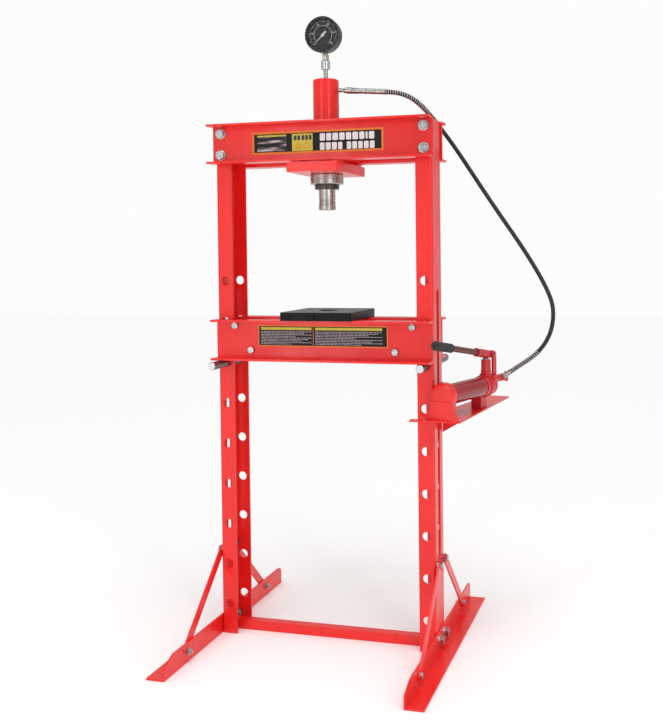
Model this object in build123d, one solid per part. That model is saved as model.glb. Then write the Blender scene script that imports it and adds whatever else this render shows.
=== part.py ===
from build123d import *
import math
import os

# Hydraulic shop press, 20-tonne class, floor standing.
# Frame: origin on the floor under the ram axis, X to the operator's right, Y to the back, Z up. Millimetres.

# Posts: C channels that open toward the centre
FRAME_WIDTH = 656.0
POST_DEPTH = 105.0
POST_FLANGE = 48.0
POST_HEIGHT = 1502.0
POST_WALL = 5.3
POST_BEND = 8.0
PIN_HOLE_RADIUS = 13.0
PIN_HOLE_X = 303.0
PIN_HOLE_FIRST = 88.0
PIN_HOLE_PITCH = 120.0
PIN_HOLE_COUNT = 9
SLOT_WIDTH = 27.0
SLOT_LOW = 264.0
SLOT_HIGH = 1022.0

# Head and bed channels
CHANNEL_WALL = 6.0
CHANNEL_BEND = 7.0
CHANNEL_FLANGE = 53.0
HEAD_LENGTH = 666.0
HEAD_LOW = 1390.0
HEAD_HEIGHT = 114.0
BED_LENGTH = 656.0
BED_LOW = 818.6
BED_HEIGHT = 118.0
BED_GAP = 1.0
HEAD_BOLT_X = 307.0
HEAD_BOLT_HEIGHTS = (1418.0, 1480.0)
BED_BOLTS = ((-269.0, 918.0), (269.0, 918.0), (-219.0, 847.0), (219.0, 847.0))

# Bed pins
PIN_RADIUS = 11.5
PIN_Z = 806.8
PIN_LENGTH = 310.0
LEFT_PIN_FRONT = -150.0
RIGHT_PIN_FRONT = -112.0

# Arbor plates on the bed
ARBOR_HALF_WIDTH = 106.0
ARBOR_HALF_DEPTH = 116.0
ARBOR_THICKNESS = 24.0
ARBOR_HOLE_RADIUS = 29.0

# Cylinder
CYLINDER_RADIUS = 37.5
CYLINDER_BORE = 32.0
CYLINDER_LOW = 1327.0
CYLINDER_TOP = 1632.0
PLATE_LOW = 1357.0
PLATE_HIGH = 1385.0
PLATE_HALF_WIDTH = 76.0
PLATE_HALF_DEPTH = 126.0
ROD_RADIUS = 24.0
PISTON_LOW = 1560.0
PISTON_HIGH = 1590.0
TIP_LOW = 1253.0
TIP_HIGH = 1268.0
GLAND_TOP = 1345.0
SPRING_TURNS = 8
SPRING_WIRE = 2.0
SPRING_RADIUS = 28.0

# Pressure gauge
STEM_LOW = 1688.0
GAUGE_Z = 1758.0
GAUGE_RADIUS = 50.0
GAUGE_FRONT = -31.0
GAUGE_BACK = 9.0
DIAL_FRONT = -20.8

# Feet and braces
FOOT_LENGTH = 800.0
FOOT_WALL = 5.0
FOOT_LEG = 53.0
FOOT_BOLT_Y = 31.0
BRACE_LOW = (270.0, 30.0)
BRACE_HIGH = (33.0, 245.0)
BRACE_WIDTH = 25.0

# Pump: its own frame has y along the pump's length, z up and x toward the outside
PUMP_START = (356.0, -90.0, 730.0)
PUMP_YAW = 17.5
SHELF_TOP = 665.0
SHELF_WALL = 4.0
FULCRUM_Y = 288.0
FULCRUM_Z = 89.5
HANDLE_TILT = 9.5
PLUNGER_Y = 264.0
PLUNGER_RADIUS = 8.0
RESERVOIR_RADIUS = 29.0
VALVE_SIDE = 20.0
VALVE_RISE = 18.0
GRIP_START = 232.0
GRIP_END = 322.0

# Hose
HOSE_RADIUS = 6.25
HOSE_ROUTE = (
    (181.0, 0.0, 1588.0),
    (205.0, 0.0, 1586.0),
    (228.5, 5.5, 1580.5),
    (252.5, 18.5, 1570.0),
    (276.5, 46.5, 1550.0),
    (296.0, 110.0, 1519.0),
    (320.0, 140.0, 1481.0),
    (346.0, 153.0, 1443.0),
    (392.0, 160.0, 1372.0),
    (439.0, 166.0, 1298.0),
    (485.0, 172.0, 1228.0),
    (533.0, 177.0, 1157.0),
    (567.0, 182.0, 1103.0),
    (602.0, 187.0, 1042.0),
    (627.0, 191.0, 987.0),
    (634.0, 194.0, 945.0),
    (628.0, 196.0, 897.0),
    (611.0, 198.0, 858.0),
    (587.0, 200.0, 828.0),
    (560.0, 202.0, 805.5),
    (528.3, 203.3, 784.87),
    (503.7, 203.3, 767.7),
)

os.makedirs("parts", exist_ok=True)


def save(shape, name):
    export_step(shape, "parts/" + name + ".step")


def save_all(shapes, name):
    save(Compound(children=shapes), name)


def cylinder(radius, length):
    """A cylinder that stands on z = 0."""
    return Pos(0, 0, length / 2) * Cylinder(radius, length)


def ring(outer, inner, length):
    return cylinder(outer, length) - Pos(0, 0, -1) * cylinder(inner, length + 2)


def block(x, y, z):
    """A box from three (low, high) pairs."""
    size = Box(x[1] - x[0], y[1] - y[0], z[1] - z[0])
    return Pos((x[0] + x[1]) / 2, (y[0] + y[1]) / 2, (z[0] + z[1]) / 2) * size


def at(point, direction):
    """A frame at a point with z along a level direction and x straight up."""
    return Plane(origin=point, x_dir=(0, 0, 1), z_dir=direction)


def both_sides(shape):
    return shape, mirror(shape, about=Plane.YZ)


# Fasteners: the axis is z, the head stands on z = 0 and the shank goes below


def hexagon(across_flats, height):
    prism = extrude(RegularPolygon(across_flats / 2, 6, major_radius=False), height)
    limit = cylinder(across_flats * 0.58, height)
    limit = chamfer(limit.edges().sort_by(Axis.Z)[-1], across_flats * 0.06)
    return prism & limit


def bolt(diameter, across_flats, head, shank):
    stem = cylinder(diameter / 2, shank)
    stem = chamfer(stem.edges().sort_by(Axis.Z)[0], diameter * 0.08)
    return hexagon(across_flats, head) + Pos(0, 0, -shank) * stem


def nut(diameter, across_flats, height):
    return hexagon(across_flats, height) - Pos(0, 0, -1) * cylinder(diameter / 2 + 0.1, height + 2)


def frame_bolt():
    return bolt(16, 24, 10, 30)


def frame_nut():
    return nut(16, 24, 13)


def frame_washer():
    return ring(15, 8.3, 3)


def brace_bolt():
    return bolt(10, 17, 6.4, 25)


def brace_nut():
    return nut(10, 17, 8)


def drill(point, direction, radius, depth):
    return at(point, direction) * cylinder(radius, depth)


def head_bolt_places():
    """Under-head points and outward directions of the head's bolts, on the washers."""
    face = POST_DEPTH / 2 + CHANNEL_WALL
    return [
        ((x, side * face, z), (0, side, 0))
        for side in (-1, 1)
        for x in (-HEAD_BOLT_X, HEAD_BOLT_X)
        for z in HEAD_BOLT_HEIGHTS
    ]


def foot_bolt_places():
    face = FRAME_WIDTH / 2 + FOOT_WALL
    return [((side * face, y, 30.0), (side, 0, 0)) for side in (-1, 1) for y in (-FOOT_BOLT_Y, FOOT_BOLT_Y)]


def brace_bolt_places():
    face = FRAME_WIDTH / 2 + 2 * FOOT_WALL
    return [
        ((side * face, front * y, z), (side, 0, 0))
        for side in (-1, 1)
        for front in (-1, 1)
        for y, z in (BRACE_LOW, BRACE_HIGH)
    ]


def bracket_bolt_places():
    face = FRAME_WIDTH / 2 + SHELF_WALL
    return [((face, y, z), (1, 0, 0)) for y in (-20.0, 34.0) for z in (715.0, 738.0)]


def step_back(place, distance):
    point, direction = place
    return tuple(p - distance * d for p, d in zip(point, direction))


# Posts, head, bed


def channel_section(depth, flange, wall, bend):
    """A C section: the web's outer face is x = 0 and the flanges go toward -x."""
    outside = Pos(-flange / 2, 0) * Rectangle(flange, depth)
    outside = fillet(outside.vertices().sort_by(Axis.X)[-2:], bend)
    inside = Pos(-flange / 2 - wall, 0) * Rectangle(flange, depth - 2 * wall)
    inside = fillet(inside.vertices().sort_by(Axis.X)[-2:], max(bend - wall, 1.0))
    return outside - inside


def right_post():
    section = channel_section(POST_DEPTH, POST_FLANGE, POST_WALL, POST_BEND)
    post = Pos(FRAME_WIDTH / 2, 0, 0) * extrude(section, POST_HEIGHT)
    for number in range(PIN_HOLE_COUNT):
        z = PIN_HOLE_FIRST + number * PIN_HOLE_PITCH
        post -= drill((PIN_HOLE_X, -POST_DEPTH, z), (0, 1, 0), PIN_HOLE_RADIUS, 2 * POST_DEPTH)
    slot = extrude(SlotOverall(SLOT_HIGH - SLOT_LOW, SLOT_WIDTH), 20)
    post -= Pos(FRAME_WIDTH / 2 - 10, 0, (SLOT_LOW + SLOT_HIGH) / 2) * Rot(0, 90, 0) * slot
    for z in HEAD_BOLT_HEIGHTS:
        post -= drill((HEAD_BOLT_X, -POST_DEPTH, z), (0, 1, 0), 8.5, 2 * POST_DEPTH)
    for y in (-FOOT_BOLT_Y, FOOT_BOLT_Y):
        post -= drill((FRAME_WIDTH / 2 - 10, y, 30.0), (1, 0, 0), 8.5, 20)
    for y in (-BRACE_HIGH[0], BRACE_HIGH[0]):
        post -= drill((FRAME_WIDTH / 2 - 10, y, BRACE_HIGH[1]), (1, 0, 0), 5.3, 20)
    return post


def drill_bracket_holes(post):
    for point, direction in bracket_bolt_places():
        post -= drill((point[0] - 20, point[1], point[2]), direction, 5.3, 40)
    return post


def rear_channel(length, low, height, web_face, holes, hole_radius):
    """A level channel whose flat web face is at y = web_face and whose flanges go to the back."""
    section = channel_section(height, CHANNEL_FLANGE, CHANNEL_WALL, CHANNEL_BEND)
    bar = Pos(-length / 2, 0, 0) * extrude(Plane.YZ * section, length)
    bar = Pos(0, web_face, low + height / 2) * mirror(bar, about=Plane.XZ)
    for x, z in holes:
        bar -= drill((x, web_face - 5, z), (0, 1, 0), hole_radius, 20)
    return bar


def head_channel():
    holes = [(x, z) for x in (-HEAD_BOLT_X, HEAD_BOLT_X) for z in HEAD_BOLT_HEIGHTS]
    return rear_channel(HEAD_LENGTH, HEAD_LOW, HEAD_HEIGHT, POST_DEPTH / 2, holes, 8.5)


def bed_channel():
    face = POST_DEPTH / 2 + BED_GAP
    return rear_channel(BED_LENGTH, BED_LOW, BED_HEIGHT, face, BED_BOLTS, 6.3)


def bed_fasteners():
    inside = POST_DEPTH / 2 + BED_GAP
    outside = inside + CHANNEL_WALL
    bolts, nuts, spacers = [], [], []
    for x, z in BED_BOLTS:
        bolts.append(at((x, -outside, z), (0, -1, 0)) * bolt(12, 18, 7.5, 2 * outside + 12))
        nuts.append(at((x, outside, z), (0, 1, 0)) * nut(12, 18, 10))
        spacers.append(at((x, -inside, z), (0, 1, 0)) * ring(8.5, 6.1, 2 * inside))
    return bolts, nuts, spacers


def bed_pin(x, front):
    pin = cylinder(PIN_RADIUS, PIN_LENGTH)
    pin = chamfer(pin.edges().filter_by(GeomType.CIRCLE), 1.5)
    return at((x, front, PIN_Z), (0, 1, 0)) * pin


def right_arbor_plate():
    low = BED_LOW + BED_HEIGHT
    plate = block((0.5, ARBOR_HALF_WIDTH), (-ARBOR_HALF_DEPTH, ARBOR_HALF_DEPTH), (low, low + ARBOR_THICKNESS))
    plate = chamfer(plate.edges().filter_by(Axis.Z).sort_by(Axis.X)[-2:], 4)
    return plate - Pos(0, 0, low - 1) * cylinder(ARBOR_HOLE_RADIUS, ARBOR_THICKNESS + 2)


def label_plate(x_low, x_high, face, low, high):
    """A thin plate glued on the front of a web whose front face is at y = face."""
    plate = block((x_low, x_high), (face - 0.6, face), (low, high))
    return fillet(plate.edges().filter_by(Axis.Y), 3)


# Cylinder and ram


def cylinder_plate():
    half_width, half_depth = PLATE_HALF_WIDTH, PLATE_HALF_DEPTH
    plate = block((-half_width, half_width), (-half_depth, half_depth), (PLATE_LOW, PLATE_HIGH))
    plate = chamfer(plate.edges().filter_by(Axis.Z), 2)
    for x_low, x_high in ((-74, -50), (-12, 12), (50, 74)):
        for y in (-98, 62):
            plate += block((x_low, x_high), (y, y + 36), (PLATE_HIGH - 1, HEAD_LOW))
    return plate - Pos(0, 0, PLATE_LOW - 1) * cylinder(CYLINDER_RADIUS + 0.2, 50)


def cylinder_body():
    body = Pos(0, 0, CYLINDER_LOW) * cylinder(CYLINDER_RADIUS, CYLINDER_TOP - CYLINDER_LOW)
    body = fillet(body.edges().sort_by(Axis.Z)[-1], 6)
    body += Pos(0, 0, PLATE_HIGH) * cylinder(48, 12)
    body -= Pos(0, 0, CYLINDER_LOW - 1) * cylinder(CYLINDER_BORE, CYLINDER_TOP - 18 - CYLINDER_LOW)
    body -= Pos(0, 0, CYLINDER_TOP - 40) * cylinder(6.5, 50)
    body -= hose_frame(-20) * cylinder(5, 40)
    return body


def ring_nut():
    body = Pos(0, 0, CYLINDER_LOW) * ring(48, CYLINDER_RADIUS + 0.1, PLATE_LOW - CYLINDER_LOW)
    body = chamfer(body.edges().filter_by(GeomType.CIRCLE).sort_by(SortBy.RADIUS)[-2:], 2)
    for turn in range(4):
        body -= Rot(0, 0, -50 + 90 * turn) * drill((42, 0, 1342), (1, 0, 0), 4, 10)
    return body


def gland_nut():
    body = Pos(0, 0, 1313) * cylinder(35.5, CYLINDER_LOW - 1313)
    body += Pos(0, 0, CYLINDER_LOW) * cylinder(CYLINDER_BORE - 0.1, GLAND_TOP - CYLINDER_LOW)
    body = chamfer(body.edges().sort_by(Axis.Z)[0], 1.5)
    return body - Pos(0, 0, 1300) * cylinder(ROD_RADIUS + 0.05, 60)


def ram_rod():
    rod = Pos(0, 0, TIP_HIGH) * cylinder(ROD_RADIUS, PISTON_LOW - TIP_HIGH)
    rod -= Pos(0, 0, 1280) * ring(ROD_RADIUS + 2, ROD_RADIUS - 1.2, 3)
    rod -= Pos(0, 0, TIP_HIGH - 1) * cylinder(10.1, 17)
    piston = Pos(0, 0, PISTON_LOW) * cylinder(CYLINDER_BORE - 0.4, PISTON_HIGH - PISTON_LOW)
    piston -= Pos(0, 0, PISTON_LOW + 10) * ring(CYLINDER_BORE + 2, CYLINDER_BORE - 4, 8)
    return rod + piston


def piston_seal():
    return Pos(0, 0, PISTON_LOW + 10) * ring(CYLINDER_BORE - 0.05, CYLINDER_BORE - 4, 8)


def ram_tip():
    cap = Pos(0, 0, TIP_LOW) * cylinder(24.5, TIP_HIGH - TIP_LOW)
    cap = chamfer(cap.edges().filter_by(GeomType.CIRCLE), 1)
    cap += Pos(0, 0, TIP_HIGH) * cylinder(10, 15)
    return cap - block((18, 30), (-4, 4), (TIP_LOW + 4, TIP_LOW + 11))


def return_spring():
    height = PISTON_LOW - GLAND_TOP - 2 * SPRING_WIRE - 0.4
    path = Helix(pitch=height / SPRING_TURNS, height=height, radius=SPRING_RADIUS)
    start = Plane(origin=path @ 0, z_dir=path % 0)
    coil = sweep(start * Circle(SPRING_WIRE), path=path)
    return Pos(0, 0, GLAND_TOP + SPRING_WIRE + 0.2) * coil


# Gauge


def gauge_frame(y):
    return Plane(origin=(0, y, GAUGE_Z), x_dir=(1, 0, 0), z_dir=(0, 1, 0))


def gauge_adapter():
    return Pos(0, 0, STEM_LOW - 71) * cylinder(6.5, 43)


def gauge_coupling():
    body = Pos(0, 0, STEM_LOW - 28) * cylinder(13.5, 28)
    return fillet(body.edges().filter_by(GeomType.CIRCLE), 3)


def gauge_stem():
    square = block((-8, 8), (-8, 8), (STEM_LOW, STEM_LOW + 17))
    square = chamfer(square.edges().filter_by(Axis.Z), 1.5)
    return square + Pos(0, 0, STEM_LOW + 17) * cylinder(7, 6)


def gauge_case():
    case = gauge_frame(-24) * cylinder(GAUGE_RADIUS, GAUGE_BACK + 24)
    case = fillet(case.edges().sort_by(Axis.Y)[-1], 4)
    case -= gauge_frame(-26) * cylinder(GAUGE_RADIUS - 2.5, GAUGE_BACK + 26 - 2.5)
    return case - Pos(0, 0, STEM_LOW + 5) * cylinder(7, 18)


def gauge_dial():
    dial = gauge_frame(DIAL_FRONT) * cylinder(GAUGE_RADIUS - 2.5, 1.0)
    return dial + gauge_frame(DIAL_FRONT - 4) * cylinder(1.2, 4.5)


def gauge_lens():
    return gauge_frame(-29.5) * cylinder(GAUGE_RADIUS - 2, 2)


def gauge_bezel():
    bezel = gauge_frame(GAUGE_FRONT) * ring(GAUGE_RADIUS + 2, GAUGE_RADIUS - 4, 7)
    bezel = chamfer(bezel.edges().filter_by(GeomType.CIRCLE).sort_by(Axis.Y)[:2], 1)
    return bezel - gauge_frame(-29.5) * cylinder(GAUGE_RADIUS - 1.9, 10)


def gauge_needle():
    """Points at the scale's zero, down and to the left."""
    needle = cylinder(4.5, 2.2)
    blade = extrude(make_face(Polyline((38, 0), (-8, 1.8), (-13, 3), (-13, -3), (-8, -1.8), (38, 0))), 0.9)
    needle += Pos(0, 0, 0.6) * blade
    needle -= Pos(0, 0, -1) * cylinder(1.25, 4)
    return gauge_frame(DIAL_FRONT - 2.6) * Rot(0, 0, 135) * needle


# Hose


def hose_frame(distance):
    """The upper fitting's axis, a distance from the cylinder's wall."""
    slope = math.atan2(12.0, 144.0)
    direction = Vector(math.cos(slope), 0, -math.sin(slope))
    start = Vector(CYLINDER_RADIUS, 0, 1600)
    return Plane(origin=start + direction * distance, z_dir=direction)


def lower_frame(distance):
    """The lower fitting's axis, a distance from its seat on the pump."""
    end = Vector(*HOSE_ROUTE[-1])
    direction = Vector(0.82, 0, 0.5724)
    return Plane(origin=end - direction * (38 - distance), z_dir=direction)


def hose_nipple():
    body = hose_frame(-6) * cylinder(4.9, 8)
    body += hose_frame(2) * cylinder(6, 18)
    return body + hose_frame(20) * cylinder(8, 6)


def hose_coupler():
    body = hose_frame(26) * ring(9.5, 5, 18)
    body = chamfer(body.edges().filter_by(GeomType.CIRCLE).sort_by(SortBy.RADIUS)[-2:], 1)
    return body + hose_frame(44) * hexagon(15, 16)


def hose_ferrule():
    length = (Vector(*HOSE_ROUTE[0]) - hose_frame(60).origin).length
    body = hose_frame(60) * cylinder(8, length)
    for place in (14, 34, 54):
        body -= hose_frame(place + 60) * ring(9, 7.4, 3)
    return body


def route_radii(points):
    radii = []
    for before, corner, after in zip(points, points[1:], points[2:]):
        first = Vector(*corner) - Vector(*before)
        second = Vector(*after) - Vector(*corner)
        turn = math.radians(first.get_angle(second))
        radii.append(0.45 * min(first.length, second.length) / math.tan(turn / 2))
    return radii


def route_path(points, radii):
    return FilletPolyline(*points, radius=radii)


def tube(path, outer, inner=None):
    start = Plane(origin=path @ 0, z_dir=path % 0)
    section = Circle(outer)
    if inner:
        section = section - Circle(inner)
    return sweep(start * section, path=path)


def between(first, second, share):
    return tuple(a + share * (b - a) for a, b in zip(first, second))


def make_hose():
    radii = route_radii(HOSE_ROUTE)
    print("hose corner radii", [round(r) for r in radii])
    path = route_path(HOSE_ROUTE, radii)
    hose = tube(path, HOSE_RADIUS)
    expected = math.pi * HOSE_RADIUS**2 * path.length
    print("hose length", round(path.length), "volume share", round(hose.volume / expected, 4))
    save(hose, "hose")
    upper = HOSE_ROUTE[:5] + (between(HOSE_ROUTE[4], HOSE_ROUTE[5], 0.7),)
    save(tube(route_path(upper, radii[:4]), HOSE_RADIUS + 2.2, HOSE_RADIUS + 0.1), "hose_guard_upper")
    lower = HOSE_ROUTE[:-5:-1] + (between(HOSE_ROUTE[-4], HOSE_ROUTE[-5], 0.5),)
    save(tube(route_path(lower, radii[:-4:-1]), HOSE_RADIUS + 2.2, HOSE_RADIUS + 0.1), "hose_guard_lower")


def hose_fitting_lower():
    body = lower_frame(-8) * cylinder(6, 22)
    body += lower_frame(12) * hexagon(15, 10)
    return body + lower_frame(20) * cylinder(8, 18)


# Feet, braces, tie bar


def right_foot():
    inner = FRAME_WIDTH / 2
    half = FOOT_LENGTH / 2
    side = Polyline((-half, 0), (-half, 34), (54 - half, 54), (half, 54), (half, 0), (-half, 0))
    face = make_face(Plane(origin=(inner, 0, 0), x_dir=(0, 1, 0), z_dir=(1, 0, 0)) * side)
    leg = extrude(face, FOOT_WALL, dir=(1, 0, 0))
    corner = leg.edges().filter_by(Axis.X).filter_by_position(Axis.Y, half - 1, half + 1).sort_by(Axis.Z)[-1]
    leg = fillet(corner, 20)
    sole = block((inner, inner + FOOT_LEG), (-half, half), (0, FOOT_WALL))
    foot = leg + sole
    for y in (-FOOT_BOLT_Y, FOOT_BOLT_Y):
        foot -= drill((inner - 5, y, 30.0), (1, 0, 0), 8.5, 20)
    for y in (-BRACE_LOW[0], BRACE_LOW[0]):
        foot -= drill((inner - 5, y, BRACE_LOW[1]), (1, 0, 0), 5.3, 20)
    return foot


def right_rear_brace():
    (y_low, z_low), (y_high, z_high) = BRACE_LOW, BRACE_HIGH
    length = math.hypot(y_high - y_low, z_high - z_low)
    angle = math.degrees(math.atan2(z_high - z_low, y_high - y_low))
    flat = extrude(SlotCenterToCenter(length, BRACE_WIDTH), FOOT_WALL)
    holes = [Pos(x, 0, -1) * cylinder(5.3, 10) for x in (-length / 2, length / 2)]
    flat = flat - holes[0] - holes[1]
    middle = (FRAME_WIDTH / 2 + FOOT_WALL, (y_low + y_high) / 2, (z_low + z_high) / 2)
    return Plane(origin=middle, x_dir=(0, 1, 0), z_dir=(1, 0, 0)) * Rot(0, 0, angle) * flat


def brace_spacers():
    spacers = []
    for side in (-1, 1):
        for y in (-BRACE_HIGH[0], BRACE_HIGH[0]):
            start = (side * FRAME_WIDTH / 2, y, BRACE_HIGH[1])
            spacers.append(at(start, (side, 0, 0)) * ring(10, 5.3, FOOT_WALL))
    return spacers


def tie_bar():
    reach = FRAME_WIDTH / 2 - POST_WALL
    return block((-reach, reach), (-14, 14), (0, 28)) - block((-reach - 1, reach + 1), (-11, 11), (3, 25))


# Pump and handle


def pump_frame():
    return Plane(origin=PUMP_START, x_dir=Vector(1, 0, 0).rotate(Axis.Z, -PUMP_YAW), z_dir=(0, 0, 1))


def placed(shape):
    """Moves a shape from the pump's own frame to the press."""
    return pump_frame() * shape


def along_pump(radius, start, length):
    """A cylinder along the pump's length, in the pump's own frame."""
    return Plane(origin=(0, start, 0), z_dir=(0, 1, 0)) * cylinder(radius, length)


def pump_bracket():
    inner = FRAME_WIDTH / 2
    wing = ((inner, -84), (270, -84), (270, -110))
    outline = Polyline(*wing, (414, -110), (468, 385), (400, 398), (inner, 70), (inner, -84))
    shelf = extrude(make_face(Pos(0, 0, SHELF_TOP - SHELF_WALL) * outline), SHELF_WALL)
    back = block((inner, inner + SHELF_WALL), (-42, 50), (SHELF_TOP - SHELF_WALL, 752))
    gusset = Polyline((inner, 661.5), (424, 661.5), (inner, 606), (inner, 661.5))
    plane = Plane(origin=(0, 50, 0), x_dir=(1, 0, 0), z_dir=(0, -1, 0))
    bracket = shelf + back + extrude(make_face(plane * gusset), SHELF_WALL)
    for point, direction in bracket_bolt_places():
        bracket -= drill((point[0] - 20, point[1], point[2]), direction, 5.3, 40)
    return bracket


def pump_front_cap():
    """A domed casting on a splayed foot."""
    floor = SHELF_TOP - PUMP_START[2]
    cap = along_pump(36, -4, 34)
    cap = fillet(cap.edges().sort_by(Axis.Y)[0], 15)
    cap += block((-27, 31), (6, 30), (floor, 0))
    splay = ((-28, -14), (-33, -38), (-46, -55), (-46, floor), (52, floor), (52, -55), (38, -38), (28, -14))
    face = make_face(Plane(origin=(0, 8, 0), x_dir=(1, 0, 0), z_dir=(0, -1, 0)) * Polyline(*splay, splay[0]))
    foot = extrude(face, 14)
    return cap + foot - along_pump(RESERVOIR_RADIUS + 0.05, 26, 10)


def pump_reservoir():
    return along_pump(RESERVOIR_RADIUS, 26, 200) - along_pump(RESERVOIR_RADIUS - 3, 25, 202)


def pump_rear_head():
    head = along_pump(30.5, 226, 56) + along_pump(33, 246, 16)
    head += Plane(origin=(0, 282, 0), z_dir=(0, 1, 0)) * Pos(0, 0, 8) * Cone(30, 22, 16)
    head += Pos(VALVE_SIDE, 0, VALVE_RISE) * along_pump(11, 262, 78)
    head += Pos(0, PLUNGER_Y, 0) * cylinder(19, 34)
    head += block((-31, 2), (228, 262), (SHELF_TOP - PUMP_START[2], 0))
    for side in (-1, 1):
        low, high = sorted((side * 11.5, side * 17.5))
        lug = block((low, high), (FULCRUM_Y - 10, FULCRUM_Y + 10.5), (5, FULCRUM_Z)) + (
            Plane(origin=(low, FULCRUM_Y, FULCRUM_Z), z_dir=(1, 0, 0)) * cylinder(10.5, high - low)
        )
        head += lug
    head -= Plane(origin=(-40, FULCRUM_Y, FULCRUM_Z), z_dir=(1, 0, 0)) * cylinder(5.05, 80)
    head -= Pos(0, PLUNGER_Y, -10) * cylinder(PLUNGER_RADIUS + 0.05, 60)
    head -= Pos(VALVE_SIDE, 0, VALVE_RISE) * along_pump(5.05, 326, 30)
    return head


def hose_boss():
    return lower_frame(0) * cylinder(9.5, 11.5)


def pump_barrel():
    barrel = Pos(0, PLUNGER_Y, 34) * hexagon(30, 12) + Pos(0, PLUNGER_Y, 46) * cylinder(14.5, 31)
    barrel = fillet(barrel.edges().sort_by(Axis.Z)[-1], 2)
    return barrel - Pos(0, PLUNGER_Y, 20) * cylinder(PLUNGER_RADIUS + 0.05, 80)


def pump_plunger():
    top = FULCRUM_Z - 8.3
    plunger = Pos(0, PLUNGER_Y, 8) * cylinder(PLUNGER_RADIUS, top - 8)
    return fillet(plunger.edges().sort_by(Axis.Z)[-1], 2)


def handle_frame(distance):
    """The handle's axis, a distance in front of the fulcrum."""
    tilt = math.radians(HANDLE_TILT)
    direction = Vector(0, -math.cos(tilt), math.sin(tilt))
    return Plane(origin=Vector(0, FULCRUM_Y, FULCRUM_Z) + direction * distance, x_dir=(1, 0, 0), z_dir=direction)


def handle_socket():
    body = block((-11, 11), (FULCRUM_Y - 30, FULCRUM_Y + 11), (FULCRUM_Z - 8, FULCRUM_Z + 12))
    body = fillet(body.edges().filter_by(Axis.X), 3)
    body += handle_frame(22) * cylinder(12.5, 64)
    body -= block((-20, 20), (FULCRUM_Y - 38, FULCRUM_Y + 24), (50, FULCRUM_Z - 8))
    body -= handle_frame(36) * cylinder(9.1, 60)
    body -= Plane(origin=(-40, FULCRUM_Y, FULCRUM_Z), z_dir=(1, 0, 0)) * cylinder(5.05, 80)
    return body


def handle_rod():
    rod = handle_frame(36) * cylinder(9, GRIP_END - 3.5 - 36)
    return chamfer(rod.edges().sort_by(Axis.Y)[0], 1)


def handle_grip():
    grip = handle_frame(GRIP_START) * cylinder(13, GRIP_END - GRIP_START)
    grip = fillet(grip.edges().filter_by(GeomType.CIRCLE), 2.5)
    grip -= handle_frame(GRIP_END - 10) * cylinder(3, 20)
    return grip - handle_frame(GRIP_START - 5) * cylinder(9.1, GRIP_END - 3 - GRIP_START + 5)


def fulcrum_pin():
    pin = Plane(origin=(-21, FULCRUM_Y, FULCRUM_Z), z_dir=(1, 0, 0)) * cylinder(5, 42)
    return chamfer(pin.edges().filter_by(GeomType.CIRCLE), 1)


def release_valve():
    valve = along_pump(5, 328, 28)
    bar = Pos(0, 357, -15) * cylinder(6, 30)
    return Pos(VALVE_SIDE, 0, VALVE_RISE) * (valve + fillet(bar.edges().filter_by(GeomType.CIRCLE), 2))


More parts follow.
